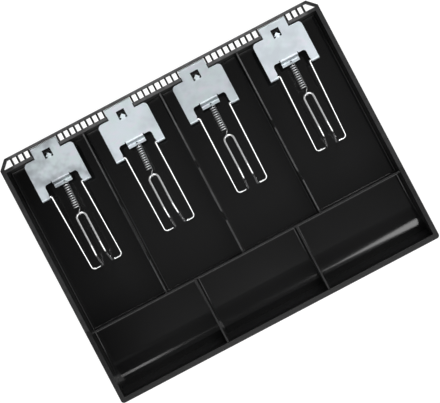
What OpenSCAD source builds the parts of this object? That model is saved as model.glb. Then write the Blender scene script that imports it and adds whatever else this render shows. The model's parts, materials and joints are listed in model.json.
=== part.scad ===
// Cash drawer insert: a moulded tray with four bill bays and three coin bays, and a sprung
// hold-down clip for each bill bay. X runs to the right, Y to the rear rail, Z up.
// The origin is the middle of the tray's underside.

/* [Tray] */
// Overall width
tray_w = 330; // [312:1:380]
// Overall depth, front rim to rear rail
tray_d = 250; // [240:1:290]
// Overall height, which is the level of the rim
tray_h = 36; // [33:0.5:44]
// Thickness of the floor
floor_t = 2.4; // [1.6:0.1:3.2]
// Thickness of the outer walls under the rim
wall_t = 2.2; // [1.6:0.1:2.8]
// Width of the rim along the sides
rim_side_w = 4.4; // [3.4:0.1:6]
// Width of the rim along the front
rim_front_w = 5; // [3.4:0.1:7]
// Height of the rim's lip
rim_lip_h = 5; // [3:0.5:8]
// Plan radius of the front corners
corner_r = 3; // [1:0.5:6]

/* [Bays] */
// How much wider the right-hand bill bay is than the other three
last_bay_extra = 3.6; // [0:0.1:8]
// Thickness of the walls between the bill bays
bill_divider_t = 1.6; // [1.2:0.1:2.4]
// Length of the coin bays, front to rear
coin_bay_d = 64.8; // [55:0.1:68]
// Width of the middle coin bay
coin_middle_w = 103.1; // [85:0.1:115]
// Thickness of the walls between the coin bays
coin_divider_t = 1.9; // [1.2:0.1:2.6]
// Thickness of the wall between the bill bays and the coin bays
cross_divider_t = 1.7; // [1.4:0.1:3]
// How far the tops of the inner walls lie below the rim
divider_drop = 1.5; // [0.5:0.1:3]
// Radius where a bay's floor meets its walls
foot_r = 1.5; // [1:0.1:4]
// Radius of the scoop at the front of a coin bay
scoop_r = 36; // [32:0.5:42]
// How far the scoop reaches into the floor from the front wall
scoop_d = 32; // [24:0.5:36]
// Depth of the hollows under the scoops, front to rear
scoop_hollow_d = 17; // [8:0.5:19]

/* [Dip in the bill walls] */
// From the rear wall to the start of the dip
dip_start = 70.2; // [60:0.1:80]
// Length of the rear ramp
dip_rear_ramp = 7.2; // [4:0.1:10]
// Length of the low stretch
dip_low = 46; // [35:0.1:50]
// Length of the front ramp
dip_front_ramp = 8.9; // [4:0.1:10]
// Depth of the dip
dip_depth = 12; // [6:0.5:16]

/* [Rear rail] */
// Height of the rail
rail_h = 8; // [7:0.5:10]
// Thickness of the rail's outer strip
rail_strip_t = 2.4; // [1.6:0.1:3]
// Clear depth of the rail's cells, front to rear
rail_cell_d = 6.8; // [6.5:0.1:8]
// Thickness of the rear wall in front of the cells
rear_wall_t = 3.2; // [2.4:0.1:4]
// Chamfer across each end of the rail
rail_chamfer = 8.4; // [5:0.1:10]
// From the end of the rail to its first rib
rail_end_cell = 13.6; // [12:0.1:16]
// Thickness of a rib
rib_t = 1.6; // [0.8:0.1:2.2]
// Spacing that the ribs keep to
rib_pitch = 6; // [5:0.1:9]
// How far the ribs lie below the rim
rib_drop = 0.8; // [0:0.1:2]
// Spacing of the two ribs beside a clip
pocket_w = 29.2; // [28.8:0.1:31]

/* [Clip plate] */
// How far each clip sits to the right of the middle of its bay
clip_shift = [2.9, 0, -2.8, -0.9]; // [-4:0.1:4]
// Thickness of the steel
plate_t = 1; // [0.8:0.1:1.2]
// Width across the two prongs
plate_w = 50.4; // [49:0.1:56]
// From the rear wall to the pivot
pivot_reach = 38.1; // [34:0.1:42]
// Width of a prong
prong_w = 8.55; // [7:0.05:8.7]
// From the pivot back to the edge of the notch between the prongs
notch_d = 11.3; // [10.5:0.1:13]
// Radius of the notch's corners
notch_r = 2.7; // [1:0.1:3]
// Radius of the plate's shoulders
shoulder_r = 3.8; // [1:0.1:6]
// Width of the tab in the rail
tab_w = 26.4; // [20:0.1:27]
// Inside radius of the rear hook's folds
fold_r = 1; // [0.6:0.1:1.2]
// How far the rear hook reaches down
hook_drop = 7.5; // [6:0.1:9]
// Clearance between the plate and the plastic
plate_gap = 0.3; // [0.1:0.05:0.6]
// From the plate's shoulders to the rear wall
shoulder_gap = 1.2; // [0.3:0.1:2]
// Width of the barb's window
window_w = 8; // [7:0.1:10]
// Length of the barb's window
window_l = 8.3; // [7:0.1:9]
// From the rear wall's front face back to the window's rear edge
window_back = 2.9; // [2:0.1:3.4]
// Width of the barb's head
barb_w = 6.8; // [5:0.1:6.8]
// Width of the barb's neck
barb_neck_w = 4.2; // [3:0.1:4.8]
// Length of the barb's head
barb_head_l = 3.6; // [2.4:0.1:4]
// Angle that the barb is bent down
barb_angle = 18; // [12:1:35]

/* [Spring tab] */
// Width of the tab that holds the spring
spring_tab_w = 17.8; // [12:0.1:24]
// Inside radius of the tab's two folds
tab_fold_r = 2; // [1:0.1:2.4]
// Depth of the relief cuts beside the tab's upper fold
relief_d = 1.2; // [0.4:0.1:2]
// Width of those relief cuts
relief_w = 0.8; // [0.4:0.1:1.4]
// From the pivot back to the middle of the spring's rear loop
anchor_back = 5.7; // [5:0.1:6]
// From the pivot down to the middle of the spring's rear loop
anchor_drop = 5.95; // [5.5:0.05:7]
// How far the middle of each spring's rear loop sits to the right of the middle of its clip
anchor_shift = [1.1, 0.3, 0.1, 0.1]; // [-2:0.1:2]
// From the middle of the rear loop forward to the edge of the lip that it goes round
lip_reach = 0.45; // [0.35:0.05:0.6]
// Clearance round the loop in its hole
anchor_gap = 0.45; // [0.4:0.05:0.6]

/* [Hold-down wire] */
// Diameter of the wire
wire_d = 2; // [1.8:0.1:2.2]
// Radial clearance of the wire in its knuckles
knuckle_gap = 0.05; // [0.02:0.01:0.08]
// End clearance of the knuckles beside the wire's bends
knuckle_end_gap = 0.2; // [0.1:0.05:0.5]
// Width of the slit where a knuckle's roll ends
knuckle_slit = 0.5; // [0.3:0.05:0.8]
// Angle of that slit above the line to the plate's rear
slit_angle = 20; // [10:1:30]
// Spacing of the two outer legs
leg_span = 31; // [29:0.1:31.8]
// Bend radius where a leg leaves its knuckle
stub_r = 1.5; // [1.2:0.1:1.6]
// From the pivot forward to the turns that press on the notes
turn_reach = 77.7; // [70:0.1:90]
// Height of the turns above the floor at rest
turn_gap = 0.3; // [0.3:0.1:3]
// Spacing of the inner legs at the turns
turn_span = 9.6; // [9:0.1:12]
// Bend radius of the turns
turn_r = 3.4; // [2.5:0.1:4]
// From the pivot forward to the top of the risers
riser_reach = 68.1; // [62:0.1:69]
// Depth of the top of the risers below the plate's top
riser_drop = 4.9; // [3:0.1:8]
// Bend radius at the top of the risers
riser_r = 4; // [3:0.1:5]
// From the pivot forward to the front of the finger loop
loop_reach = 57.3; // [50:0.1:59]
// Depth of the front of the finger loop below the plate's top
loop_drop = 1.4; // [1.2:0.1:2.5]
// Bend radius at the front of the finger loop
loop_bend_r = 6; // [4:0.1:8]
// Spacing of the finger loop's two legs
loop_span = 9; // [8.8:0.1:11]
// How far each finger loop sits to the right of the middle of its clip
loop_shift = [0.4, -1.1, -0.2, -0.7]; // [-2:0.1:2]
// From the pivot forward to the crown that the spring hooks on
crown_reach = 25.8; // [22:0.1:30]
// Depth of the crown below the plate's top
crown_drop = 1.1; // [1:0.1:2]
// Bend radius of the crown
crown_r = 4.3; // [3.5:0.1:4.35]

/* [Spring] */
// Diameter over the coils
spring_d = 6.4; // [5:0.1:6.8]
// Diameter of the spring's wire
spring_wire_d = 0.7; // [0.6:0.05:1]
// Number of whole turns
spring_turns = 11; // [9:1:16]
// Radius of the end loops, at the middle of the wire
end_loop_r = 1.7; // [1.55:0.05:2]
// Length of the neck between the rear loop and the coils
rear_neck_l = 1; // [0.6:0.1:3]
// Length of the neck between the coils and the front loop
front_neck_l = 5; // [2:0.1:6]

/* [Hidden] */
$fn = 64;
CLIPS = [1, 2, 3, 4];

PLASTIC = [0.10, 0.10, 0.11];
ZINC = [0.78, 0.80, 0.84];
BRIGHT_WIRE = [0.86, 0.87, 0.88];
SPRING_STEEL = [0.70, 0.71, 0.73];

// How far a cut runs past the face that it opens
past = 1;

// Inner faces of the tray
x_in = tray_w / 2 - rim_side_w;
y_front_in = -tray_d / 2 + rim_front_w;
y_rail_in = tray_d / 2 - rail_strip_t;
y_wall_back = y_rail_in - rail_cell_d;
y_wall_front = y_wall_back - rear_wall_t;
y_cross_front = y_front_in + coin_bay_d;
y_cross_back = y_cross_front + cross_divider_t;
z_divider = tray_h - divider_drop;

// Left and right faces of each bill bay and coin bay
bay_w = (2 * x_in - 3 * bill_divider_t - last_bay_extra) / 4;
bill_bays = [for (i = [0:3])
    let (left = -x_in + i * (bay_w + bill_divider_t))
    [left, i == 3 ? x_in : left + bay_w]];
coin_bays = [
    [-x_in, -coin_middle_w / 2 - coin_divider_t],
    [-coin_middle_w / 2, coin_middle_w / 2],
    [coin_middle_w / 2 + coin_divider_t, x_in]
];

// Places of the clips, and of the ribs in each stretch of rail between their pockets
clip_x = [for (i = [0:3]) (bill_bays[i][0] + bill_bays[i][1]) / 2 + clip_shift[i]];
x_end_rib = tray_w / 2 - rail_end_cell;
rib_stretches = concat(
    [[-x_end_rib, clip_x[0] - pocket_w / 2]],
    [for (i = [0:2]) [clip_x[i] + pocket_w / 2, clip_x[i + 1] - pocket_w / 2]],
    [[clip_x[3] + pocket_w / 2, x_end_rib]]
);
rib_x = [for (s = rib_stretches)
    let (cells = max(1, round((s[1] - s[0]) / rib_pitch)))
    for (k = [0:cells]) s[0] + k * (s[1] - s[0]) / cells];
pocket_clear = pocket_w - rib_t;

// Pivot of the wire, and the points that the spring joins, as [y, z]
wire_r = wire_d / 2;
bore_r = wire_r + knuckle_gap;
knuckle_r = bore_r + plate_t;
pivot = [y_wall_front - pivot_reach, tray_h - knuckle_r];
anchor = pivot + [anchor_back, -anchor_drop];
crown = [pivot.x - crown_reach, tray_h - crown_drop];

// Outline values of the clip plate
fold_out = fold_r + plate_t;
notch_half = plate_w / 2 - prong_w;
y_notch = pivot.x + notch_d;
tab_fold_out = tab_fold_r + plate_t;
y_tab_fold = y_notch + relief_d;
y_tab_face = y_tab_fold - tab_fold_out;
y_hook_face = y_rail_in - 2 * plate_gap;
y_window = y_wall_front + window_back;
y_barb = y_window - window_l;
barb_l = (y_wall_front - plate_gap - y_barb) / cos(barb_angle);
x_knuckle = leg_span / 2 + stub_r + knuckle_end_gap;

// Corners of one half of the wire, from the middle of its crown to the end in its knuckle, with
// its finger loop moved sideways, and their bend radii
z_turn = floor_t + turn_gap + wire_r;
function wire_corners(shift) = [
    [shift, crown.x, crown.y],
    [shift + loop_span / 2, crown.x, crown.y],
    [shift + loop_span / 2, pivot.x - loop_reach, tray_h - loop_drop],
    [shift / 2 + (turn_span + loop_span) / 4, pivot.x - riser_reach, tray_h - riser_drop],
    [turn_span / 2, pivot.x - turn_reach, z_turn],
    [leg_span / 2, pivot.x - turn_reach, z_turn],
    [leg_span / 2, pivot.x, pivot.y],
    [plate_w / 2 - plate_gap, pivot.x, pivot.y]
];
wire_bends = [0, crown_r, loop_bend_r, riser_r, turn_r, turn_r, stub_r, 0];
wire_bead = 0.02;

// Line of the spring, from its anchor to the crown, and its coils
spring_axis = [0, crown.x - anchor.x, crown.y - anchor.y];
spring_l = norm(spring_axis);
spring_u = spring_axis / spring_l;
spring_v = [0, -spring_u.z, spring_u.y];
coil_r = (spring_d - spring_wire_d) / 2;
coil_pitch = (spring_l - rear_neck_l - front_neck_l) / (spring_turns + 0.5);
RINGS_A_TURN = 8;
TUBE_SIDES = 6;
END_LOOP_SWEEP = 250;
END_LOOP_RINGS = 8;
NECK_RINGS = 6;

function unit(v) = v / norm(v);
function ease(t) = t * t * (3 - 2 * t);

// Point at u along the spring's line, at radius r and turned by an angle from its side
function spring_point(u, r, turn) =
    [0, anchor.x, anchor.y] + u * spring_u + r * sin(turn) * spring_v + [r * cos(turn), 0, 0];

// An end loop, and its neck that swells into the coils
function spring_end(neck_l) = concat(
    [for (k = [0:END_LOOP_RINGS - 1])
        let (a = 270 - END_LOOP_SWEEP * (1 - k / END_LOOP_RINGS))
        spring_point(end_loop_r * cos(a), end_loop_r * sin(a), 90)],
    [for (k = [0:NECK_RINGS - 1])
        let (t = k / NECK_RINGS)
        spring_point(neck_l * t * (2 - t) + coil_pitch * t * t / 2,
            end_loop_r + (coil_r - end_loop_r) * ease(t), -90 + 180 * t * t)]
);

// The coils between the two necks
coil_turns = spring_turns - 0.5;
coil_rings = round(coil_turns * RINGS_A_TURN);
coils = [for (k = [0:coil_rings])
    let (turned = coil_turns * k / coil_rings)
    spring_point(rear_neck_l + coil_pitch * (turned + 0.5), coil_r, 90 + 360 * turned)];

// The front end is made as the rear one is, and turned half round about the spring's middle
spring_middle = [0, (anchor.x + crown.x) / 2, (anchor.y + crown.y) / 2];
function turned_round(p) =
    let (d = p - spring_middle)
    spring_middle + [d.x, 0, 0] - [0, d.y, d.z];
front_end = spring_end(front_neck_l);
straight_spring = concat(spring_end(rear_neck_l), coils,
    [for (k = [len(front_end) - 1:-1:0]) turned_round(front_end[k])]);

// Each clip's own spring, which slants from its hole in the lip to the finger loop
function aslant(p, from, to) = p + [from + (to - from) * (anchor.x - p.y) / (anchor.x - crown.x), 0, 0];
spring_paths = [for (i = [0:3]) [for (p = straight_spring) aslant(p, anchor_shift[i], loop_shift[i])]];

// Least gap between stretches of a spring that are most of a turn apart
spring_self_gap = min([for (path = spring_paths)
    for (i = [0:len(path) - RINGS_A_TURN])
    for (j = [i + RINGS_A_TURN - 2:1:len(path) - 1])
    norm(path[i] - path[j])]) - spring_wire_d;
echo(spring_self_gap = spring_self_gap, spring_pitch = coil_pitch, spring_length = spring_l);

// Lift of the wire that brings the spring back to its length at rest, past its dead centre
crown_angle = atan2(crown.y - pivot.y, crown_reach);
dead_centre = atan2(anchor_drop, anchor_back);
lift_max = 2 * (dead_centre - crown_angle);
spring_tilt = atan2(spring_u.z, -spring_u.y);
echo(lift_max = lift_max, spring_ratio = 2 * (dead_centre - spring_tilt) / lift_max,
    pivot = pivot, anchor = anchor, crown = crown);
echo(clip_x = clip_x, bill_bays = bill_bays, coin_bays = coin_bays,
    y_faces = [y_front_in, y_cross_front, y_cross_back, y_wall_front, y_wall_back]);

// A profile drawn in Y and Z, extruded evenly to both sides of X = 0
module along_x(length) {
    rotate([90, 0, 90]) linear_extrude(length, center = true) children();
}

// A profile drawn in X and Z, extruded from y0 to y1
module along_y(y0, y1) {
    translate([0, y1, 0]) rotate([90, 0, 0]) linear_extrude(y1 - y0) children();
}

// An upright pan from a to b, with a radius at each side of its floor. The first radius leaves the
// floor at its own reach from a, and meets the side at a slant where the reach is the shorter.
module pan(a, b, r_a, r_b, reach_a) {
    top = max(tray_h, floor_t + max(r_a, r_b)) + past;
    middle = (a + b) / 2;
    translate([a + reach_a, floor_t]) square([b - a - reach_a - r_b, top - floor_t]);
    translate([a, floor_t + r_a]) square([middle - a, top - floor_t - r_a]);
    translate([middle, floor_t + r_b]) square([b - middle, top - floor_t - r_b]);
    translate([a + reach_a, floor_t + r_a]) circle(r_a);
    translate([b - r_b, floor_t + r_b]) circle(r_b);
}

// The hollow of a bay between two X faces and two Y faces
module bay(x, y0, y1, r_front, reach) {
    intersection() {
        along_y(y0, y1) pan(x[0], x[1], foot_r, foot_r, foot_r);
        translate([(x[0] + x[1]) / 2, 0, 0]) along_x(x[1] - x[0]) pan(y0, y1, r_front, foot_r, reach);
    }
}

// Plan of the tray between two Y faces, with round front corners
module front_rounded(half_w, y0, y1, r) {
    translate([-half_w, y0 + r]) square([2 * half_w, y1 - y0 - r]);
    translate([-half_w + r, y0]) square([2 * (half_w - r), 2 * r]);
    for (side = [-1, 1]) translate([side * (half_w - r), y0 + r]) circle(r);
}

module rail_corners(cut) {
    for (side = [-1, 1]) scale([side, 1])
        polygon([
            [tray_w / 2 + past, tray_d / 2 + past],
            [tray_w / 2 - cut - past, tray_d / 2 + past],
            [tray_w / 2 + past, tray_d / 2 - cut - past]
        ]);
}

module rear_rail() {
    translate([0, 0, tray_h - rail_h]) linear_extrude(rail_h) difference() {
        translate([-tray_w / 2, y_wall_back]) square([tray_w, tray_d / 2 - y_wall_back]);
        rail_corners(rail_chamfer);
        difference() {
            translate([-tray_w / 2 + rail_strip_t, y_wall_back])
                square([tray_w - 2 * rail_strip_t, rail_cell_d]);
            rail_corners(rail_chamfer + rail_strip_t * sqrt(2));
        }
    }
    for (x = rib_x)
        translate([x - rib_t / 2, y_wall_back - past / 2, tray_h - rail_h])
            cube([rib_t, rail_cell_d + past, rail_h - rib_drop]);
}

// Hollows under the scoops, which keep their shell as thick as the walls, two to each coin bay
module scoop_hollows() {
    for (x = coin_bays)
        for (half = [0, 1]) {
            cell = (x[1] - x[0] - wall_t) / 2;
            translate([x[0] + cell / 2 + half * (cell + wall_t), 0, 0])
                along_x(cell) difference() {
                    translate([y_front_in, -past]) square([scoop_hollow_d, scoop_r]);
                    translate([y_front_in + scoop_d, floor_t + scoop_r]) circle(scoop_r + wall_t);
                }
        }
}

// The dip in the walls between the bill bays
module bill_dip() {
    y0 = y_wall_front - dip_start;
    y1 = y0 - dip_rear_ramp;
    y2 = y1 - dip_low;
    y3 = y2 - dip_front_ramp;
    along_x(bill_bays[3][0] - bill_bays[0][1] + 2 * past) polygon([
        [y0, tray_h],
        [y0, z_divider],
        [y1, z_divider - dip_depth],
        [y2, z_divider - dip_depth],
        [y3, z_divider],
        [y3, tray_h]
    ]);
}

module tray_moulding() {
    color(PLASTIC) difference() {
        union() {
            linear_extrude(tray_h)
                front_rounded(x_in + wall_t, y_front_in - wall_t, y_wall_back, corner_r);
            translate([0, 0, tray_h - rim_lip_h]) linear_extrude(rim_lip_h)
                front_rounded(tray_w / 2, -tray_d / 2, y_wall_back, corner_r);
            rear_rail();
        }
        for (x = bill_bays) bay(x, y_cross_back, y_wall_front, foot_r, foot_r);
        for (x = coin_bays) bay(x, y_front_in, y_cross_front, scoop_r, scoop_d);
        translate([-x_in, y_front_in, z_divider])
            cube([2 * x_in, y_wall_front - y_front_in, tray_h]);
        bill_dip();
        scoop_hollows();
        for (x = clip_x)
            translate([x - pocket_clear / 2, y_wall_front - past, tray_h - plate_t])
                cube([pocket_clear, rear_wall_t + 2 * past, tray_h]);
    }
}

// A quarter of a fold about the origin, from +X round to +Y
module fold(r) {
    intersection() {
        difference() {
            circle(r + plate_t);
            circle(r);
        }
        square(r + plate_t);
    }
}

// The tab's rear hook: down inside the rail and forward to the back of the rear wall
module rear_hook() {
    y_fold = y_hook_face - fold_out;
    z_bottom = tray_h - hook_drop;
    y_lip = y_wall_back + plate_gap;
    along_x(tab_w) {
        translate([y_fold, tray_h - fold_out]) fold(fold_r);
        translate([y_hook_face - plate_t, z_bottom + fold_out])
            square([plate_t, hook_drop - 2 * fold_out]);
        translate([y_fold, z_bottom + fold_out]) rotate(-90) fold(fold_r);
        translate([y_lip, z_bottom]) square([y_fold - y_lip, plate_t]);
    }
}

// The spring tab: down from the notch and forward to a lip with a hole for the spring's loop
module spring_tab(n) {
    z_lip = anchor.y - plate_t / 2;
    y_lip = anchor.x - lip_reach;
    y_lip_end = y_tab_face - tab_fold_r;
    difference() {
        along_x(spring_tab_w) {
            translate([y_tab_fold, tray_h - tab_fold_out]) rotate(90) fold(tab_fold_r);
            translate([y_tab_face, z_lip + tab_fold_out])
                square([plate_t, tray_h - z_lip - 2 * tab_fold_out]);
            translate([y_lip_end, z_lip + tab_fold_out]) rotate(-90) fold(tab_fold_r);
            translate([y_lip, z_lip]) square([y_lip_end - y_lip, plate_t]);
        }
        translate([anchor_shift[n - 1], anchor.x + end_loop_r, z_lip - past])
            cylinder(h = tab_fold_out + past, r = spring_wire_d / 2 + anchor_gap);
    }
}

// An arrow-shaped barb cut from the window and bent down against the rear wall
module barb() {
    y_head = barb_l - barb_head_l;
    translate([0, y_barb, tray_h]) rotate([-barb_angle, 0, 0])
        translate([0, 0, -plate_t]) linear_extrude(plate_t) polygon([
            [-barb_neck_w / 2, -plate_t],
            [barb_neck_w / 2, -plate_t],
            [barb_neck_w / 2, y_head],
            [barb_w / 2, y_head],
            [0, barb_l],
            [-barb_w / 2, y_head],
            [-barb_neck_w / 2, y_head]
        ]);
}

// A knuckle rolled from the end of a prong, with the slit where the roll ends
module knuckle(side) {
    length = plate_w / 2 - x_knuckle;
    translate([side * (x_knuckle + length / 2), pivot.x, pivot.y]) along_x(length) difference() {
        circle(knuckle_r);
        circle(bore_r);
        rotate(slit_angle) translate([bore_r / 2, -knuckle_slit / 2]) square([knuckle_r, knuckle_slit]);
    }
}

module plate_outline() {
    y_shoulder = y_wall_front - shoulder_gap;
    difference() {
        union() {
            translate([-plate_w / 2, pivot.x]) square([plate_w, y_shoulder - shoulder_r - pivot.x]);
            translate([-plate_w / 2 + shoulder_r, pivot.x])
                square([plate_w - 2 * shoulder_r, y_shoulder - pivot.x]);
            for (side = [-1, 1])
                translate([side * (plate_w / 2 - shoulder_r), y_shoulder - shoulder_r]) circle(shoulder_r);
            translate([-tab_w / 2, pivot.x]) square([tab_w, y_hook_face - fold_out - pivot.x]);
        }
        translate([-notch_half, pivot.x - past]) square([2 * notch_half, notch_d - notch_r + past]);
        translate([-notch_half + notch_r, pivot.x - past])
            square([2 * (notch_half - notch_r), notch_d + past]);
        for (side = [-1, 1]) translate([side * (notch_half - notch_r), y_notch - notch_r]) circle(notch_r);
        translate([-spring_tab_w / 2 - relief_w, y_notch - past])
            square([spring_tab_w + 2 * relief_w, relief_d + past]);
        translate([-window_w / 2, y_barb]) square([window_w, window_l]);
        for (side = [-1, 1])
            translate([side * (notch_half + x_knuckle) / 2, pivot.x])
                square([x_knuckle - notch_half, 2 * wire_d], center = true);
    }
}

module clip_plate(n) {
    color(ZINC) translate([clip_x[n - 1], 0, 0]) {
        difference() {
            translate([0, 0, tray_h - plate_t]) linear_extrude(plate_t) plate_outline();
            translate([0, pivot.x, pivot.y]) along_x(plate_w + past) circle(bore_r);
        }
        for (side = [-1, 1]) knuckle(side);
        rear_hook();
        spring_tab(n);
        barb();
    }
}

// A round wire through corner points, with a true arc of the given radius at each inner corner.
// Each stretch is drawn in the frame where the one before it ends: its Z runs along the wire
// and its X points to the middle of the next bend. A hair-thin bead closes the joint after a bend.
module bent_wire(points, radii, r) {
    n = len(points);
    way = [for (i = [0:n - 2]) unit(points[i + 1] - points[i])];
    turn = [for (i = [0:n - 1]) i == 0 || i == n - 1 ? 0 : acos(way[i - 1] * way[i])];
    setback = [for (i = [0:n - 1]) radii[i] * tan(turn[i] / 2)];
    straight = [for (i = [0:n - 2]) norm(points[i + 1] - points[i]) - setback[i] - setback[i + 1]];
    inward = [for (i = [1:n - 2]) unit(way[i] - (way[i] * way[i - 1]) * way[i - 1])];
    // How far the plane of a bend is turned, about the wire, from the plane of the one before
    twist = [for (i = [0:n - 4])
        let (across = cross(way[i], inward[i]), on = cross(across, way[i + 1]))
        atan2(inward[i + 1] * across, inward[i + 1] * on)];
    placed(points[0], inward[0], cross(way[0], inward[0]), way[0])
        wire_stretch(0, straight, radii, turn, twist, r);
}

module wire_stretch(i, straight, radii, turn, twist, r) {
    cylinder(h = straight[i], r = r);
    if (i < len(straight) - 1) {
        bend = radii[i + 1];
        translate([bend, 0, straight[i]]) {
            placed([0, 0, 0], [-1, 0, 0], [0, 0, 1], [0, 1, 0])
                rotate_extrude(angle = turn[i + 1]) translate([bend, 0]) circle(r);
            rotate([0, turn[i + 1], 0]) translate([-bend, 0, 0]) {
                sphere(r + wire_bead);
                rotate([0, 0, i < len(twist) ? twist[i] : 0])
                    wire_stretch(i + 1, straight, radii, turn, twist, r);
            }
        }
    }
}

// Children turned on to three axes and moved to a place
module placed(at, x, y, z) {
    multmatrix([
        [x.x, y.x, z.x, at.x],
        [x.y, y.y, z.y, at.y],
        [x.z, y.z, z.z, at.z]
    ]) children();
}

module hold_down_wire(n) {
    color(BRIGHT_WIRE) translate([clip_x[n - 1], 0, 0])
        for (side = [0, 1]) mirror([side, 0, 0])
            bent_wire(wire_corners((1 - 2 * side) * loop_shift[n - 1]), wire_bends, wire_r);
}

// A closed tube of triangles along a path, whose sides turn no more than the path does
module tube(path, r) {
    n = len(path);
    way = [for (i = [0:n - 1]) unit(path[min(i + 1, n - 1)] - path[max(i - 1, 0)])];
    side = [for (i = 0, s = unit(cross(way[0], [1, 0, 0])); i < n;
        i = i + 1, s = i < n ? unit(s - (s * way[i]) * way[i]) : s) s];
    points = [for (i = [0:n - 1]) for (k = [0:TUBE_SIDES - 1])
        let (a = 360 * k / TUBE_SIDES)
        path[i] + r * (cos(a) * side[i] + sin(a) * cross(way[i], side[i]))];
    walls = [for (i = [0:n - 2]) for (k = [0:TUBE_SIDES - 1])
        let (a = i * TUBE_SIDES + k, b = i * TUBE_SIDES + (k + 1) % TUBE_SIDES)
        each [[a, a + TUBE_SIDES, b], [b, a + TUBE_SIDES, b + TUBE_SIDES]]];
    end = (n - 1) * TUBE_SIDES;
    caps = [for (k = [1:TUBE_SIDES - 2]) each [[0, k, k + 1], [end, end + k + 1, end + k]]];
    polyhedron(points, concat(walls, caps));
}

module clip_spring(n) {
    color(SPRING_STEEL) translate([clip_x[n - 1], 0, 0])
        tube(spring_paths[n - 1], spring_wire_d / 2);
}

tray_moulding();
clip_plate(1);  // clip_plate_1
clip_plate(2);  // clip_plate_2
clip_plate(3);  // clip_plate_3
clip_plate(4);  // clip_plate_4
hold_down_wire(1);  // hold_down_wire_1
hold_down_wire(2);  // hold_down_wire_2
hold_down_wire(3);  // hold_down_wire_3
hold_down_wire(4);  // hold_down_wire_4
clip_spring(1);  // clip_spring_1
clip_spring(2);  // clip_spring_2
clip_spring(3);  // clip_spring_3
clip_spring(4);  // clip_spring_4
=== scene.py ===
"""Looks of a cash drawer insert: a black moulded tray and four sprung bill clips.

Lengths are in metres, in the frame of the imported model: X to the right, Y to the rear rail, Z up.
"""

import json
import math

import bmesh
import bpy
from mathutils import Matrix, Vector


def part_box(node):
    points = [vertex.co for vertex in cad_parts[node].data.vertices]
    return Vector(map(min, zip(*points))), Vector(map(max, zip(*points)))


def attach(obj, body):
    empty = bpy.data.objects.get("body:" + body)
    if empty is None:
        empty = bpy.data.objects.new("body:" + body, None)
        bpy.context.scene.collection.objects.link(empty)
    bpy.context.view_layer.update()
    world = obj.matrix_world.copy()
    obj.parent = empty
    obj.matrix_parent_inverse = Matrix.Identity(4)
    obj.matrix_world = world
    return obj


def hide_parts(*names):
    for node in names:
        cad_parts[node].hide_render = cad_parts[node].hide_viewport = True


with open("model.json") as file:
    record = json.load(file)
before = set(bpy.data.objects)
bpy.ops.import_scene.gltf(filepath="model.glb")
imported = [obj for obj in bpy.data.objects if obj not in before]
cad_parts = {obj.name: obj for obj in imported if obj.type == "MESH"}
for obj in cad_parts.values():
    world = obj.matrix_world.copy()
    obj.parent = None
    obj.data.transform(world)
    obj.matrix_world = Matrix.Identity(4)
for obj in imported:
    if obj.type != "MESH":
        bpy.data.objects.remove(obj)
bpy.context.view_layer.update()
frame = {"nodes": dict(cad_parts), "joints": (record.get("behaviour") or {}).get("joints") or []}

MM = 0.001
CLIPS = (1, 2, 3, 4)
JOINTS = {joint["name"]: joint for joint in frame["joints"]}
RIM_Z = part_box("tray_moulding")[1].z

# The view, which looks straight down on the tray
VIEW_TURN = math.radians(-27.76)
VIEW_MIDDLE = (1.0 * MM, -1.9 * MM)
VIEW_HEIGHT = 1600 * MM
VIEW_WIDTH = 404.4 * MM
SENSOR_WIDTH = 36.0

# Rounding of the edges
TRAY_EDGE = 0.3 * MM
PLATE_EDGE = 0.2 * MM
EDGE_SEGMENTS = 2
SHARP_EDGE = math.radians(35)
FLAT_FACES = math.radians(0.3)
FLAT_WEIGHT = 100
MERGE_DISTANCE = 0.002 * MM

# Hold-down wire, measured from its pivot at rest
WIRE_R = 1.0 * MM
WIRE_SIDES = 20
LEG_SPAN = 31.0 * MM
STUB_END = 24.9 * MM
STUB_R = 1.5 * MM
TURN_REACH = 77.7 * MM
TURN_Z = 3.7 * MM
TURN_SPAN = 9.6 * MM
TURN_R = 3.4 * MM
RISER_REACH = 68.1 * MM
RISER_DROP = 4.9 * MM
RISER_R = 4.0 * MM
LOOP_REACH = 57.3 * MM
LOOP_DROP = 1.4 * MM
LOOP_BEND_R = 6.0 * MM
LOOP_SPAN = 9.0 * MM
LOOP_SHIFT = (0.4 * MM, -1.1 * MM, -0.2 * MM, -0.7 * MM)
CROWN_REACH = 25.8 * MM
CROWN_DROP = 1.1 * MM
CROWN_R = 4.3 * MM
BEND_STEPS = 10

# Extension spring, from its loop in the plate's lip to its loop on the wire's crown
SPRING_D = 6.4 * MM
SPRING_WIRE_R = 0.35 * MM
SPRING_SIDES = 12
SPRING_TURNS = 11
STEPS_A_TURN = 28
END_LOOP_R = 1.7 * MM
END_LOOP_SWEEP = math.radians(250)
END_LOOP_STEPS = 28
REAR_NECK = 1.0 * MM
FRONT_NECK = 5.0 * MM
NECK_STEPS = 20


class Value:
    """A shader socket that Python's own operators work on."""

    def __init__(self, tree, socket):
        self.tree = tree
        self.socket = socket

    def _math(self, operation, *terms):
        node = self.tree.nodes.new("ShaderNodeMath")
        node.operation = operation
        for socket, term in zip(node.inputs, terms):
            plug(self.tree, socket, term)
        return Value(self.tree, node.outputs[0])

    def __add__(self, other):
        return self._math("ADD", self, other)

    __radd__ = __add__

    def __sub__(self, other):
        return self._math("SUBTRACT", self, other)

    def __rsub__(self, other):
        return self._math("SUBTRACT", other, self)

    def __mul__(self, other):
        return self._math("MULTIPLY", self, other)

    __rmul__ = __mul__

    def __abs__(self):
        return self._math("ABSOLUTE", self)

    def clamped(self, least, most):
        return self._math("MINIMUM", self._math("MAXIMUM", self, least), most)

    def rise(self, run):
        """The angle of a slope that rises by this value over a run."""
        return self._math("ARCTAN2", self, run)


def plug(tree, socket, term):
    """Links a value to a socket, or sets the socket to a plain number or colour."""
    if isinstance(term, Value):
        tree.links.new(term.socket, socket)
    else:
        socket.default_value = term


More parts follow.
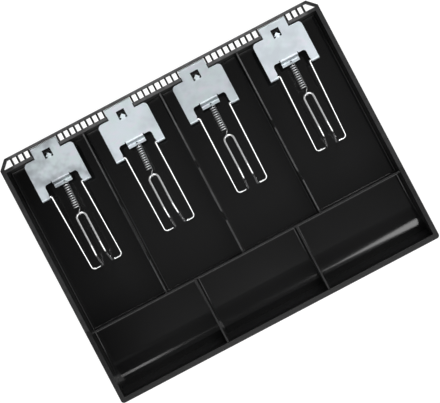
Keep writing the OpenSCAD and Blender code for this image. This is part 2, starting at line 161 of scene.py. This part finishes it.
class Finish:
    """A material or a world in the making, with its shader and the nodes that feed it."""

    def __init__(self, owner, shader="Principled BSDF"):
        owner.use_nodes = True
        self.owner = owner
        self.tree = owner.node_tree
        self.shader = self.tree.nodes[shader]

    def node(self, kind, settings, inputs, output=0):
        """Adds a node, sets it up, feeds its sockets and returns one of its outputs."""
        node = self.tree.nodes.new(kind)
        for name, setting in settings.items():
            setattr(node, name, setting)
        for name, term in inputs.items():
            plug(self.tree, node.inputs[name], term)
        return Value(self.tree, node.outputs[output])

    def place(self):
        return self.node("ShaderNodeTexCoord", {}, {}, "Object")

    def part(self, vector, axis):
        """One of a vector's three numbers."""
        return self.node("ShaderNodeSeparateXYZ", {}, {"Vector": vector}, axis)

    def stretched(self, place, scale):
        """Coordinates scaled by a different amount along each axis."""
        return self.node("ShaderNodeMapping", {}, {"Vector": place, "Scale": scale})

    def noise(self, place, scale, detail=2.0, roughness=0.5):
        return self.node("ShaderNodeTexNoise", {}, {
            "Vector": place, "Scale": scale, "Detail": detail, "Roughness": roughness})

    def span(self, value, low, high, to_low=0.0, to_high=1.0):
        """The value's range from low to high, smoothly mapped to another range."""
        return self.node("ShaderNodeMapRange", {"interpolation_type": "SMOOTHSTEP"}, {
            "Value": value, "From Min": low, "From Max": high, "To Min": to_low, "To Max": to_high})

    def tint(self, share, first, second):
        """A colour between two others."""
        first, second = ((*c, 1) if isinstance(c, tuple) else c for c in (first, second))
        return self.node("ShaderNodeMix", {"data_type": "RGBA"}, {0: share, 6: first, 7: second}, 2)

    def bump(self, height, strength, depth):
        return self.node("ShaderNodeBump", {}, {"Height": height, "Strength": strength, "Distance": depth})

    def rays(self, *kinds):
        """1 for a ray of one of the kinds, and 0 for any other."""
        return sum(self.node("ShaderNodeLightPath", {}, {}, f"Is {kind} Ray") for kind in kinds)

    def feed(self, **sockets):
        """Sets or links the shader's sockets, named with _ for a space, and returns what it finishes."""
        for name, term in sockets.items():
            plug(self.tree, self.shader.inputs[name.replace("_", " ")], term)
        return self.owner


def new_finish(name):
    return Finish(bpy.data.materials.new(name))


# Materials

# Depth of the fine relief on plastic and plating, and on drawn wire
FINE_RELIEF = 0.02 * MM
DRAWN_RELIEF = 0.01 * MM

# Black plastic: its tones, and those of its wall tops from plain rubbing wear to the most painted light
PLASTIC_TONES = ((0.0075, 0.0075, 0.0077), (0.0110, 0.0110, 0.0113))
RUB_AND_LIGHT_TONES = ((0.018, 0.018, 0.0185), (0.120, 0.120, 0.122))
PLASTIC_SPECULAR = 0.45
# Roughness of the plain gloss, and what marks, rubbing and steep faces add to it
GLOSS_ROUGH, MARK_ROUGH, RUBBED_ROUGH, STEEP_ROUGH = 0.065, 0.025, 0.42, 0.35
# How fine the marks are, and the stretch that draws the scuffs out from front to rear
FLOW_MARKS, RUB_MARKS, GRAIN_MARKS, SCUFF_MARKS = 22, 160, 2600, 900
SCUFF_STRETCH = (1.0, 0.12, 1.0)
RUB_PATCHES = (0.35, 0.70)
RUB_LEAST = 0.55
# Heights between which a wall counts as high enough for its top to take rubbing wear and painted light
WALL_TOP_Z = (14 * MM, 18 * MM)
UP_FACING = (0.80, 0.97)
# Behind this Y and below this Z, the rail's ribs and pockets are kept dark as painted shade, without rubbing
RAIL_Y = (112.2 * MM, 112.4 * MM)
RAIL_SHADE_Z = (35.5 * MM, 35.7 * MM)
# The wall tops round the coin bays are darkened with painted shade and get less roughness, and those
# between the bill bays are lightened with painted light: most of all to the right and to the rear
BILL_BAYS_Y = (-52 * MM, -50 * MM)
RIM_X = (150 * MM, 155 * MM)
RIGHT_X = (-60 * MM, -20 * MM)
REAR_Y = (50 * MM, 65 * MM)
COIN_BAYS_RUB_AND_SHADE = 0.35
PAINTED_LIGHT_ALL, PAINTED_LIGHT_RIGHT, PAINTED_LIGHT_REAR = 0.31, 0.30, 0.39
# Faces steeper than this are satin
STEEP_FACING = (0.85, 0.55)


def black_plastic():
    """Glossy black moulding with faint flow marks, its wall tops satin grey from rubbing wear and painted
    light.
    """
    finish = new_finish("black_plastic")
    place = finish.place()
    across, depth, height = (finish.part(place, axis) for axis in "XYZ")
    facing = finish.part(finish.node("ShaderNodeTexCoord", {}, {}, "Normal"), "Z")
    wall_top = finish.span(height, *WALL_TOP_Z) * finish.span(facing, *UP_FACING)
    steep = finish.span(abs(facing), *STEEP_FACING)
    # Painted shade: the rail's ribs and pockets stay dark
    rail = finish.span(depth, *RAIL_Y) * (1 - finish.span(height, *RAIL_SHADE_Z))
    bill_bays = finish.span(depth, *BILL_BAYS_Y)
    flow = finish.noise(place, FLOW_MARKS, detail=3)
    rub = finish.span(finish.noise(place, RUB_MARKS, detail=4, roughness=0.65), *RUB_PATCHES)
    # Lighter, rougher wall tops: partly rubbing wear, partly painted light; less of it where painted shade
    # falls
    wear_and_painted_light = (wall_top * (1 - rail) * (RUB_LEAST + (1 - RUB_LEAST) * rub)
            * (COIN_BAYS_RUB_AND_SHADE + (1 - COIN_BAYS_RUB_AND_SHADE) * bill_bays))
    grain = finish.noise(place, GRAIN_MARKS)
    scuff = finish.noise(finish.stretched(place, SCUFF_STRETCH), SCUFF_MARKS, detail=3, roughness=0.6)
    # Painted light: the wall tops between the bill bays are lighter, most of all to the right and to the
    # rear
    painted_light_share = (bill_bays * (1 - finish.span(abs(across), *RIM_X))
               * (PAINTED_LIGHT_ALL + PAINTED_LIGHT_RIGHT * finish.span(across, *RIGHT_X)
                  + PAINTED_LIGHT_REAR * finish.span(depth, *REAR_Y)))
    colour = finish.tint(flow, *PLASTIC_TONES)
    rub_and_light_tone = finish.tint(painted_light_share, *RUB_AND_LIGHT_TONES)
    return finish.feed(
        Base_Color=finish.tint(wear_and_painted_light, colour, rub_and_light_tone),
        Roughness=(GLOSS_ROUGH + MARK_ROUGH * flow + MARK_ROUGH * scuff
                   + RUBBED_ROUGH * wear_and_painted_light + STEEP_ROUGH * steep),
        Specular_IOR_Level=PLASTIC_SPECULAR,
        Normal=finish.bump(grain + 0.4 * scuff, strength=0.05, depth=FINE_RELIEF),
    )


# Painted light: how bright the plating of each clip is made, from left to right
PLATING_PAINTED_LIGHT = (0.84, 0.90, 0.77, 0.95)
# How far the darker clouds of each clip fall below that
CLOUDING = (0.42, 0.16, 0.18, 0.14)
# Its tones, how fine its clouds are, and the range of the noise over which each kind of cloud comes in
ZINC_PLAIN, ZINC_GREEN, ZINC_VIOLET = (0.91, 0.985, 1.045), (0.88, 0.995, 1.01), (0.955, 0.97, 1.05)
GREEN_CLOUDS, VIOLET_CLOUDS, DULL_CLOUDS = 70, 95, 40
GREEN_RANGE, VIOLET_RANGE, DULL_RANGE = (0.35, 0.65), (0.48, 0.72), (0.42, 0.68)
VIOLET_STRETCH = (1.0, 1.6, 1.0)
# Its specks and its grain, which is rolled in from front to rear
ZINC_SPECKS, ROLLED_GRAIN = 900, 420
ROLLED_STRETCH = (9.0, 0.5, 9.0)
ZINC_ROUGH, CLOUD_ROUGH, SPECK_ROUGH = 0.42, 0.10, 0.06


def zinc_plate(n):
    """Bright zinc plating with a rolled grain and faint green and violet clouds of passivation."""
    finish = new_finish(f"zinc_plate_{n}")
    # Painted light: each clip's copy of the plating is made lighter or darker
    shade = PLATING_PAINTED_LIGHT[n - 1]
    plain, green, violet = (tuple(shade * part for part in tone)
                            for tone in (ZINC_PLAIN, ZINC_GREEN, ZINC_VIOLET))
    dull = tuple((1 - CLOUDING[n - 1]) * part for part in plain)
    place = finish.place()
    green_cloud = finish.noise(place, GREEN_CLOUDS, detail=3, roughness=0.6)
    violet_cloud = finish.noise(finish.stretched(place, VIOLET_STRETCH), VIOLET_CLOUDS)
    dull_cloud = finish.noise(place, DULL_CLOUDS, detail=3, roughness=0.6)
    speck = finish.noise(place, ZINC_SPECKS, detail=3, roughness=0.6)
    grain = finish.noise(finish.stretched(place, ROLLED_STRETCH), ROLLED_GRAIN, detail=3, roughness=0.6)
    colour = finish.tint(finish.span(green_cloud, *GREEN_RANGE), green, plain)
    colour = finish.tint(finish.span(violet_cloud, *VIOLET_RANGE), colour, violet)
    colour = finish.tint(finish.span(dull_cloud, *DULL_RANGE), colour, dull)
    return finish.feed(
        Base_Color=colour,
        Metallic=1.0,
        Roughness=ZINC_ROUGH + CLOUD_ROUGH * green_cloud + SPECK_ROUGH * speck,
        Normal=finish.bump(grain + 0.5 * speck, strength=0.10, depth=FINE_RELIEF),
    )


# Hold-down wire and spring wire: their tones, how fine their marks and clouds are, and their roughness
WIRE_TONES = ((0.86, 0.865, 0.87), (0.93, 0.935, 0.94))
SPRING_TONES = ((0.88, 0.885, 0.89), (0.94, 0.945, 0.95))
WIRE_MARKS, WIRE_CLOUDS, SPRING_CLOUDS = 700, 120, 300
DRAWN_STRETCH = (8.0, 0.4, 2.0)
WIRE_ROUGH, SPRING_ROUGH, DRAWN_ROUGH = 0.14, 0.26, 0.10


def bright_wire():
    """Drawn and plated wire, with fine marks along it."""
    finish = new_finish("bright_wire")
    place = finish.place()
    marks = finish.noise(finish.stretched(place, DRAWN_STRETCH), WIRE_MARKS, detail=3)
    cloud = finish.noise(place, WIRE_CLOUDS)
    return finish.feed(
        Base_Color=finish.tint(cloud, *WIRE_TONES),
        Metallic=1.0,
        Roughness=WIRE_ROUGH + DRAWN_ROUGH * marks,
        Normal=finish.bump(marks, strength=0.05, depth=DRAWN_RELIEF),
    )


def spring_steel():
    """Bright spring wire, a little less shiny than the hold-down wire."""
    finish = new_finish("spring_steel")
    cloud = finish.noise(finish.place(), SPRING_CLOUDS)
    return finish.feed(
        Base_Color=finish.tint(cloud, *SPRING_TONES),
        Metallic=1.0,
        Roughness=SPRING_ROUGH + DRAWN_ROUGH * cloud,
    )


# Meshes

def linked(name, mesh):
    """A new object in the scene for a mesh."""
    piece = bpy.data.objects.new(name, mesh)
    bpy.context.scene.collection.objects.link(piece)
    return piece


def settle(piece):
    """Makes the result of the piece's modifiers its own plain mesh."""
    graph = bpy.context.evaluated_depsgraph_get()
    mesh = bpy.data.meshes.new_from_object(piece.evaluated_get(graph))
    piece.modifiers.clear()
    piece.data = mesh
    return piece


def edge_rounded(name, node, radius, material, split=False):
    """A merged copy of a CAD node's mesh with a small radius on its sharp edges.

    With split, faces that run round an opening or a corner are first cut into simpler ones.
    """
    mesh = bpy.data.meshes.new(name)
    source = bmesh.new()
    source.from_mesh(frame["nodes"][node].data)
    bmesh.ops.remove_doubles(source, verts=source.verts, dist=MERGE_DISTANCE)
    bmesh.ops.dissolve_limit(source, angle_limit=FLAT_FACES, verts=source.verts, edges=source.edges)
    if split:
        bmesh.ops.connect_verts_concave(source, faces=source.faces)
    source.to_mesh(mesh)
    source.free()
    if "custom_normal" in mesh.attributes:
        mesh.attributes.remove(mesh.attributes["custom_normal"])
    mesh.shade_smooth()
    mesh.materials.clear()
    mesh.materials.append(material)
    piece = linked(name, mesh)
    bevel = piece.modifiers.new("edges", "BEVEL")
    bevel.width = radius
    bevel.segments = EDGE_SEGMENTS
    bevel.limit_method = "ANGLE"
    bevel.angle_limit = SHARP_EDGE
    bevel.use_clamp_overlap = False
    bevel.face_strength_mode = "FSTR_ALL"
    flat_faces = piece.modifiers.new("flat_faces", "WEIGHTED_NORMAL")
    flat_faces.use_face_influence = True
    flat_faces.weight = FLAT_WEIGHT
    return settle(piece)


def round_wire_tree():
    """Geometry Nodes for a round wire along a line of points, bent to each point's own radius."""
    tree = bpy.data.node_groups.new("round_wire", "GeometryNodeTree")
    for name, kind in (("Line", "Geometry"), ("Wire Radius", "Float"), ("Sides", "Int"),
                       ("Bend Steps", "Int"), ("Finish", "Material")):
        tree.interface.new_socket(name, in_out="INPUT", socket_type=f"NodeSocket{kind}")
    tree.interface.new_socket("Wire", in_out="OUTPUT", socket_type="NodeSocketGeometry")

    def node(kind, links, **settings):
        made = tree.nodes.new(kind)
        for name, setting in settings.items():
            setattr(made, name, setting)
        for name, source in links.items():
            if isinstance(source, bpy.types.NodeSocket):
                tree.links.new(source, made.inputs[name])
            else:
                made.inputs[name].default_value = source
        return made.outputs[0] if len(made.outputs) else None

    given = tree.nodes.new("NodeGroupInput").outputs
    curve = node("GeometryNodeMeshToCurve", {"Mesh": given["Line"]})
    bend = node("GeometryNodeInputNamedAttribute", {"Name": "bend_radius"}, data_type="FLOAT")
    curve = node("GeometryNodeFilletCurve", {
        "Curve": curve, "Radius": bend, "Count": given["Bend Steps"]}, mode="POLY")
    ring = node("GeometryNodeCurvePrimitiveCircle", {
        "Resolution": given["Sides"], "Radius": given["Wire Radius"]})
    wire = node("GeometryNodeCurveToMesh", {"Curve": curve, "Profile Curve": ring, "Fill Caps": True})
    wire = node("GeometryNodeRealizeInstances", {"Geometry": wire})
    wire = node("GeometryNodeSetShadeSmooth", {"Geometry": wire})
    wire = node("GeometryNodeSetMaterial", {"Geometry": wire, "Material": given["Finish"]})
    node("NodeGroupOutput", {"Wire": wire})
    return tree


ROUND_WIRE = round_wire_tree()


def round_wire(name, points, bends, radius, sides, material):
    """A wire through the points, with the radius of its bend at each one."""
    mesh = bpy.data.meshes.new(name)
    mesh.from_pydata(points, [(i, i + 1) for i in range(len(points) - 1)], [])
    mesh.attributes.new("bend_radius", "FLOAT", "POINT").data.foreach_set("value", bends)
    piece = linked(name, mesh)
    modifier = piece.modifiers.new("wire", "NODES")
    modifier.node_group = ROUND_WIRE
    sizes = {"Wire Radius": radius, "Sides": sides, "Bend Steps": BEND_STEPS, "Finish": material}
    for socket in ROUND_WIRE.interface.items_tree:
        if socket.name in sizes:
            modifier[socket.identifier] = sizes[socket.name]
    return settle(piece)


def hold_down_route(pivot, loop_shift):
    """Corners of the hold-down wire from end to end, and their bend radii."""
    def half(side):
        loop_x = side * LOOP_SPAN / 2 + loop_shift
        riser_x = side * (TURN_SPAN + LOOP_SPAN) / 4 + loop_shift / 2
        return [
            ((loop_x, -CROWN_REACH, -CROWN_DROP), CROWN_R),
            ((loop_x, -LOOP_REACH, -LOOP_DROP), LOOP_BEND_R),
            ((riser_x, -RISER_REACH, -RISER_DROP), RISER_R),
            ((side * TURN_SPAN / 2, -TURN_REACH, TURN_Z - RIM_Z), TURN_R),
            ((side * LEG_SPAN / 2, -TURN_REACH, TURN_Z - RIM_Z), TURN_R),
            ((side * LEG_SPAN / 2, 0.0, pivot.z - RIM_Z), STUB_R),
            ((side * STUB_END, 0.0, pivot.z - RIM_Z), 0.0),
        ]

    corners = half(-1)[::-1] + half(1)
    points = [(pivot.x + x, pivot.y + y, RIM_Z + z) for (x, y, z), bend in corners]
    return points, [bend for corner, bend in corners]


def ease(share):
    """A share from 0 to 1, with a gentle start and end."""
    return share * share * (3 - 2 * share)


def spring_route(anchor, crown):
    """Points along the spring's wire: rear loop, neck, coils, neck and front loop."""
    run = Vector((0.0, crown.y - anchor.y, crown.z - anchor.z))
    along = run.normalized()
    sideways = Vector((1.0, 0.0, 0.0))
    downward = sideways.cross(along)
    coil_r = SPRING_D / 2 - SPRING_WIRE_R
    pitch = (run.length - REAR_NECK - FRONT_NECK) / (SPRING_TURNS + 0.5)

    def point(forward, radius, turn):
        return along * forward + downward * (radius * math.sin(turn)) + sideways * (radius * math.cos(turn))

    def spring_end(neck):
        """An end loop, and its neck that swells into the coils."""
        points = []
        for step in range(END_LOOP_STEPS):
            angle = 1.5 * math.pi - END_LOOP_SWEEP * (1 - step / END_LOOP_STEPS)
            points.append(point(END_LOOP_R * math.cos(angle), END_LOOP_R * math.sin(angle), math.pi / 2))
        for step in range(NECK_STEPS):
            share = step / NECK_STEPS
            points.append(point(
                neck * share * (2 - share) + pitch * share * share / 2,
                END_LOOP_R + (coil_r - END_LOOP_R) * ease(share),
                math.pi * (share * share - 0.5)))
        return points

    turns = SPRING_TURNS - 0.5
    steps = round(turns * STEPS_A_TURN)
    coils = []
    for step in range(steps + 1):
        turned = turns * step / steps
        coils.append(point(REAR_NECK + pitch * (turned + 0.5), coil_r, math.pi * (0.5 + 2 * turned)))
    front = [Vector((p.x, run.y - p.y, run.z - p.z)) for p in reversed(spring_end(FRONT_NECK))]
    slant = sideways * (crown.x - anchor.x)
    return [anchor + p + slant * (p.y / run.y) for p in spring_end(REAR_NECK) + coils + front]


# The insert

def carry(piece, body, node):
    """Seats a piece on its body, in the place of its CAD node."""
    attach(piece, body)
    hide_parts(node)


def build_insert():
    """Dresses the tray and the four clips."""
    wire, steel = bright_wire(), spring_steel()
    carry(edge_rounded("moulded_tray", "tray_moulding", TRAY_EDGE, black_plastic(), split=True),
          "tray", "tray_moulding")
    for n in CLIPS:
        pivot = Vector(JOINTS[f"clip_{n}_lift"]["pos_m"])
        anchor = Vector(JOINTS[f"spring_{n}_swing"]["pos_m"])
        crown = Vector((pivot.x + LOOP_SHIFT[n - 1], pivot.y - CROWN_REACH, RIM_Z - CROWN_DROP))
        carry(edge_rounded(f"zinc_clip_{n}", f"clip_plate_{n}", PLATE_EDGE, zinc_plate(n)),
              "tray", f"clip_plate_{n}")
        points, bends = hold_down_route(pivot, LOOP_SHIFT[n - 1])
        carry(round_wire(f"bent_wire_{n}", points, bends, WIRE_R, WIRE_SIDES, wire),
              f"hold_down_{n}", f"hold_down_wire_{n}")
        coil = spring_route(anchor, crown)
        carry(round_wire(f"coil_spring_{n}", coil, [0.0] * len(coil), SPRING_WIRE_R, SPRING_SIDES, steel),
              f"spring_{n}", f"clip_spring_{n}")


# Floor, light and camera

BLACK = (0.0, 0.0, 0.0)
WHITE = (1.0, 1.0, 1.0)
FLOOR_SIZE = 12.0
FLOOR_GLOW = 0.92
FLOOR_SHADE = 0.2
FLOOR_DROP = 0.05 * MM

# All light comes from the world. Its edges are measured along X and Y of the direction that it comes from,
# where 0 is straight above.
# The dome is dim behind the tray and overhead, where it is shaded on the left, and lighter to both sides.
# A broad front light starts close to the top, with an edge that curves away to both sides, and falls off
# towards the horizon
DOME_REAR, DOME_TOP, DOME_SIDE = 0.15, 0.20, 0.5
FRONT_HIGH, FRONT_LOW = 2.5, 0.15
REAR_TO_TOP = (0.30, -0.05)
LEFT_SHADE = (-0.092, -0.060, 0.05, 1.0)
TOP_TO_SIDE = (0.15, 0.50)
FRONT_EDGE = (-0.032, -0.155)
FRONT_CURVE = 2.7
FRONT_FALL = (-0.61, -0.80)

# Soft boxes behind the tray: a short strip to the left, and a wedge that widens to the right
STRIP_GLOW, WEDGE_GLOW = 12.0, 6.3
BOX_EDGE = math.radians(1.0)
STRIP_RISE = math.radians(41.5)
STRIP_HALF = math.radians(4.2)
STRIP_START = (-0.069, -0.086)
STRIP_END = (-0.0860, -0.0905)
WEDGE_RISE = math.radians(39.0)
WEDGE_START = (0.036, 0.044)
WEDGE_POINT = 0.0416
WEDGE_GROWTH = math.radians(200)
WEDGE_LEAST = math.radians(1.6)
WEDGE_MOST = math.radians(12)
WEDGE_END = (0.40, 0.45)


def pale_floor():
    """A pale floor that shows white and still takes the object's shadow."""
    finish = new_finish("pale_floor")
    seen = finish.rays("Camera", "Glossy", "Transmission")
    finish.feed(Base_Color=(FLOOR_SHADE, FLOOR_SHADE, FLOOR_SHADE, 1), Roughness=0.9, Specular_IOR_Level=0.0,
                Emission_Color=finish.tint(seen, BLACK, WHITE), Emission_Strength=FLOOR_GLOW)
    half = FLOOR_SIZE / 2
    mesh = bpy.data.meshes.new("floor")
    mesh.from_pydata([(-half, -half, -FLOOR_DROP), (half, -half, -FLOOR_DROP),
                      (half, half, -FLOOR_DROP), (-half, half, -FLOOR_DROP)], [], [(0, 1, 2, 3)])
    mesh.materials.append(finish.owner)
    linked("floor", mesh)


def studio_light():
    """A dome that shows white to the camera, with two soft boxes behind the tray."""
    finish = Finish(bpy.data.worlds.new("studio"), "Background")
    direction = finish.node("ShaderNodeTexCoord", {}, {}, "Generated")
    across, lean, up = (finish.part(direction, axis) for axis in "XYZ")
    dome = finish.span(lean, *REAR_TO_TOP, DOME_REAR, DOME_TOP) * finish.span(across, *LEFT_SHADE)
    sides = finish.span(abs(across), *TOP_TO_SIDE, 0.0, DOME_SIDE)
    front = (finish.span(lean + FRONT_CURVE * across * across, *FRONT_EDGE)
             * finish.span(lean, *FRONT_FALL, FRONT_HIGH, FRONT_LOW))
    rise = up.rise(lean)
    strip = (finish.span(STRIP_HALF - abs(rise - STRIP_RISE), 0.0, BOX_EDGE)
             * finish.span(across, *STRIP_START) * (1 - finish.span(across, *STRIP_END)))
    half = (WEDGE_GROWTH * (across - WEDGE_POINT)).clamped(WEDGE_LEAST, WEDGE_MOST)
    wedge = (finish.span(half - abs(rise - WEDGE_RISE), 0.0, BOX_EDGE)
             * finish.span(across, *WEDGE_START) * (1 - finish.span(across, *WEDGE_END)))
    light = dome + sides + front + STRIP_GLOW * strip + WEDGE_GLOW * wedge
    shown = finish.tint(finish.rays("Camera"), light, WHITE)
    bpy.context.scene.world = finish.feed(Color=shown, Strength=1.0)


def view_from_above():
    """A camera straight above the tray, turned as the view is."""
    lens = bpy.data.cameras.new("view")
    lens.sensor_fit = "HORIZONTAL"
    lens.sensor_width = SENSOR_WIDTH
    lens.lens = SENSOR_WIDTH * VIEW_HEIGHT / VIEW_WIDTH
    camera = bpy.data.objects.new("view", lens)
    camera.location = (*VIEW_MIDDLE, RIM_Z + VIEW_HEIGHT)
    camera.rotation_euler = (0.0, 0.0, VIEW_TURN)
    bpy.context.scene.collection.objects.link(camera)
    bpy.context.scene.camera = camera


view_from_above()
build_insert()
pale_floor()
studio_light()
bpy.context.scene.view_settings.view_transform = "Standard"
